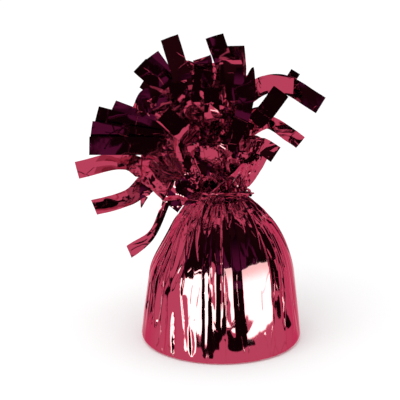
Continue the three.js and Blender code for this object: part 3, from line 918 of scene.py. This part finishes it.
# each node's material: its name, its two colours, and its grain's scale, roughness and depth
insides = {
    "base_card": ("greyBoard", (0.39, 0.27, 0.15, 1), (0.3, 0.21, 0.12, 1), 900, 0.9, 0.0002),
    "weight_tub": ("tubPlastic", (0.7, 0.68, 0.63, 1), (0.64, 0.62, 0.57, 1), 60, 0.45, 0.0001),
    "concrete_fill": ("castMortar", (0.3, 0.28, 0.26, 1), (0.22, 0.21, 0.19, 1), 700, 0.95, 0.0006),
}
for nodeName, look in insides.items():
    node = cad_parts[nodeName]
    material = makePlainMaterial(*look)
    for index in range(len(node.material_slots)):
        node.material_slots[index].material = material
print("inside pieces finished")


# studio

studio = {
    "floorSize": 3, "floorHeight": -0.0001,
    "patchHeight": 0.0003,  # of the patches that lie on the floor
    "middle": Vector((0, 0, 0.035)),  # what the upright patches stand round
    "lampMiddle": Vector((0, 0, 0.05)),  # what the lamp shines at
}

# the way out towards a bearing from the camera's side, positive to the right, and an elevation
def wayOut(bearing, elevation):
    turn = math.radians(bearing)
    level = math.radians(elevation)
    flat = math.cos(level)
    return Vector((math.sin(turn) * flat, -math.cos(turn) * flat, math.sin(level)))

# a floor that is lit like any other surface, but plain white to mirrored and transmitted rays
def makeFloor():
    bm = bmesh.new()
    bmesh.ops.create_grid(bm, x_segments=1, y_segments=1, size=studio["floorSize"])
    material, tree, shader = newMaterial("whiteFloor")
    floor = addObject("floor", bm, material)
    floor.location.z = studio["floorHeight"]
    shader.inputs["Base Color"].default_value = (0.95, 0.95, 0.95, 1)
    shader.inputs["Roughness"].default_value = 0.9
    shader.inputs["Specular IOR Level"].default_value = 0
    ray = addNode(tree, "ShaderNodeLightPath")
    seen = addMath(tree, "MAXIMUM", ray.outputs["Is Glossy Ray"], ray.outputs["Is Transmission Ray"])
    addWhite(tree, seen, shader.outputs["BSDF"], tree.nodes["Material Output"].inputs["Surface"])

# The glow of a patch, which changes in strength upwards from one height to the other. Where reach
# is given, a ray sees plain white if it comes from farther away or isn't the first reflection.
def makeGlow(name, heights, strengths, colour=(1, 1, 1, 1), reach=None):
    material, tree, shader = newMaterial(name)
    tree.nodes.remove(shader)
    strength = addLevel(tree, heights, strengths, interpolation_type="SMOOTHSTEP")
    glow = addNode(tree, "ShaderNodeEmission", Color=colour)
    surface = tree.nodes["Material Output"].inputs["Surface"]
    tree.links.new(strength, glow.inputs["Strength"])
    tree.links.new(glow.outputs["Emission"], surface)
    if reach is not None:
        ray = addNode(tree, "ShaderNodeLightPath")
        repeated = addMath(tree, "GREATER_THAN", ray.outputs["Ray Depth"], 1.5)
        far = addMath(tree, "GREATER_THAN", ray.outputs["Ray Length"], reach)
        addWhite(tree, addMath(tree, "MAXIMUM", repeated, far), glow.outputs["Emission"], surface)
    return material

# One patch of the studio round the object, which only mirror rays see. It reaches from one bearing
# to another, and from one elevation to another at its distance. With no distance it lies on the
# floor, from one radius to another. A slanted first edge is a pair instead of a bearing: shares of
# the way up, and the bearings there.
def makePatch(name, bearings, spans, distance, material):
    bm = bmesh.new()
    bmesh.ops.create_grid(bm, x_segments=16, y_segments=16, size=0.5)
    for vert in bm.verts:
        up = vert.co.y + 0.5
        first = np.interp(up, *bearings[0]) if isinstance(bearings[0], tuple) else bearings[0]
        bearing = first + (vert.co.x + 0.5) * (bearings[1] - first)
        span = spans[0] + up * (spans[1] - spans[0])
        if distance is None:
            turn = math.radians(bearing)
            vert.co = (math.sin(turn) * span, -math.cos(turn) * span, studio["patchHeight"])
        else:
            vert.co = studio["middle"] + wayOut(bearing, span) * distance
    patch = addObject(name, bm, material)
    patch.visible_camera = False
    patch.visible_diffuse = False
    patch.visible_shadow = False
    patch.visible_transmission = False

makeFloor()
dark = makeGlow("darkRoom", heights=(0.1, 0.5), strengths=(0.01, 0.03))
dim = makeGlow("dimCeiling", heights=(0.16, 0.36), strengths=(0.8, 0.05), colour=(0.17, 0.09, 0.28, 1))
# greenish light: crimson film mirrors it as white where it is strong and as pale red where it is weak
green = (0.2, 1, 0.5, 1)
softbox = makeGlow("softbox", heights=(0.03, 0.058), strengths=(21, 10), colour=green, reach=0.1205)
evenSoftbox = makeGlow("evenSoftbox", heights=(0, 1), strengths=(21, 21), colour=green, reach=0.113)
slantedEdge = ((0, 0.1, 0.3, 0.5), (-38, -39, -48, -54))

# name, bearings, elevations or radii, distance, and glow
patches = (
    ("cameraSide", (-30, 33), (-7, 22), 0.5, dark),
    ("cameraSideFloor", (-30, 33), (0.12, 0.49), None, dark),
    ("frontFloor", (-26, 40), (0.082, 0.12), None, dark),
    ("ceiling", (-48, 95), (8, 64), 0.5, dark),
    ("leftCeiling", (-68, -48), (9, 42), 0.5, dark),
    ("rightGlow", (36, 54), (10, 54), 0.45, dim),
    ("middleGlow", (-10, 4), (14, 50), 0.45, dim),
    ("fanGlow", (-2, 4), (-1, 5), 0.45, dim),
    ("sideGlow", (4, 6), (8.5, 11), 0.45, dim),
    ("leftGlow", (-30, -17), (10, 40), 0.45, dim),
    ("rightSoftbox", (35, 73), (-15.6, 12), 0.13, softbox),
    ("rightGap", (84, 98), (-9, 40), 0.35, dark),
    ("rightGapFloor", (80, 98), (0.13, 0.34), None, dark),
    ("rightBlot", (86, 97), (0.062, 0.1), None, dark),
    ("rightSliver", (116, 124), (-9, 50), 0.35, dark),
    ("leftSoftbox", (slantedEdge, -27), (-15.6, 9), 0.13, evenSoftbox),
    ("leftSoftboxFloor", (-42, -27), (0.062, 0.126), None, evenSoftbox),
    ("leftGap", (-91, -83.5), (-9, 50), 0.35, dark),
    ("leftGapFloor", (-91, -83.5), (0.062, 0.34), None, dark),
    ("leftSliver", (-124, -108), (-9, 50), 0.35, dark),
    ("leftSliverFloor", (-124, -108), (0.062, 0.34), None, dark),
    ("behind", (150, 204), (-7, 40), 0.5, dark),
    ("behindFloor", (150, 204), (0.1, 0.49), None, dark),
)
for patch in patches:
    makePatch(*patch)

def makeWorld():
    world = bpy.data.worlds.new("studio")
    scene.world = world
    world.use_nodes = True
    background = world.node_tree.nodes["Background"]
    background.inputs["Color"].default_value = (1, 1, 1, 1)
    background.inputs["Strength"].default_value = 1

def makeLamp(name, bearing, elevation, distance, size, power):
    lamp = bpy.data.lights.new(name, "AREA")
    lamp.shape = "SQUARE"
    lamp.size = size
    lamp.energy = power
    holder = bpy.data.objects.new(name, lamp)
    scene.collection.objects.link(holder)
    out = wayOut(bearing, elevation)
    holder.location = studio["lampMiddle"] + out * distance
    holder.rotation_mode = "QUATERNION"
    holder.rotation_quaternion = out.to_track_quat("Z", "Y")
    holder.visible_glossy = False
    holder.visible_camera = False

makeWorld()
makeLamp("keyLamp", bearing=-40, elevation=60, distance=1.0, size=0.7, power=2.8)
print("studio made")
